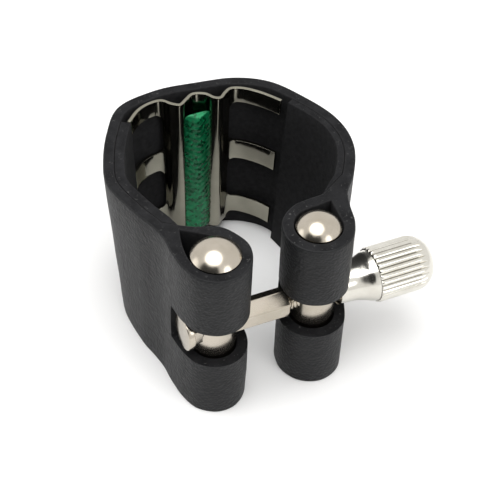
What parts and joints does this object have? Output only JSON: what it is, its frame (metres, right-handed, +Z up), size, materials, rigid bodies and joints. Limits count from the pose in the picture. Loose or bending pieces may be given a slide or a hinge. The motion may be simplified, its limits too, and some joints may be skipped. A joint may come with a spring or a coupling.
{
  "type": "saxophone ligature",
  "caption": "Black leather strap ligature folded round two nickel pins, with a sprung nickel reed plate and a knurled thumb screw and sleeve nut that clamp it.",
  "frame": {"origin": "under the middle of the bounding box, on the surface the strap's lower rim stands on", "axes": "+X along the screw towards its knob, +Y from the screw to the reed plate, +Z up along the mouthpiece axis, towards the wide rim"},
  "size_m": [0.0404, 0.0372, 0.0278],
  "materials": {
    "black_leather": "fine-grained black leather, satin, with fibrous dark grey cut edges",
    "sheet_nickel": "bright nickel-plated sheet",
    "polished_nickel": "polished warm nickel plate",
    "green_strip": "glossy green with a fine raised chevron texture"
  },
  "bodies": {
    "band": {"strap_back": "black_leather", "pressure_plate": "sheet_nickel", "reed_strip": "green_strip"},
    "left_clamp": {"strap_left_arm": "black_leather", "left_pin": "polished_nickel", "sleeve_nut": "polished_nickel"},
    "right_clamp": {"strap_right_arm": "black_leather", "right_pin": "polished_nickel"},
    "screw": {"thumb_screw": "polished_nickel"}
  },
  "joints": [
    {"name": "left_arm_spread", "type": "slide", "parent": "band", "child": "left_clamp", "axis": [-1, 0, 0], "range_m": [-0.0005, 0.002]},
    {"name": "right_arm_spread", "type": "slide", "parent": "band", "child": "right_clamp", "axis": [1, 0, 0], "range_m": [-0.0005, 0.002]},
    {"name": "thumb_screw_turn", "type": "hinge", "parent": "right_clamp", "child": "screw", "pos_m": [0.0143, -0.01378, 0.0131], "axis": [1, 0, 0], "range_deg": [-720, 2880]}
  ],
  "couplings": [
    {"joint": "right_arm_spread", "follows": "left_arm_spread", "ratio": 1},
    {"joint": "thumb_screw_turn", "follows": "left_arm_spread", "rad_per_m": 25133}
  ]
}
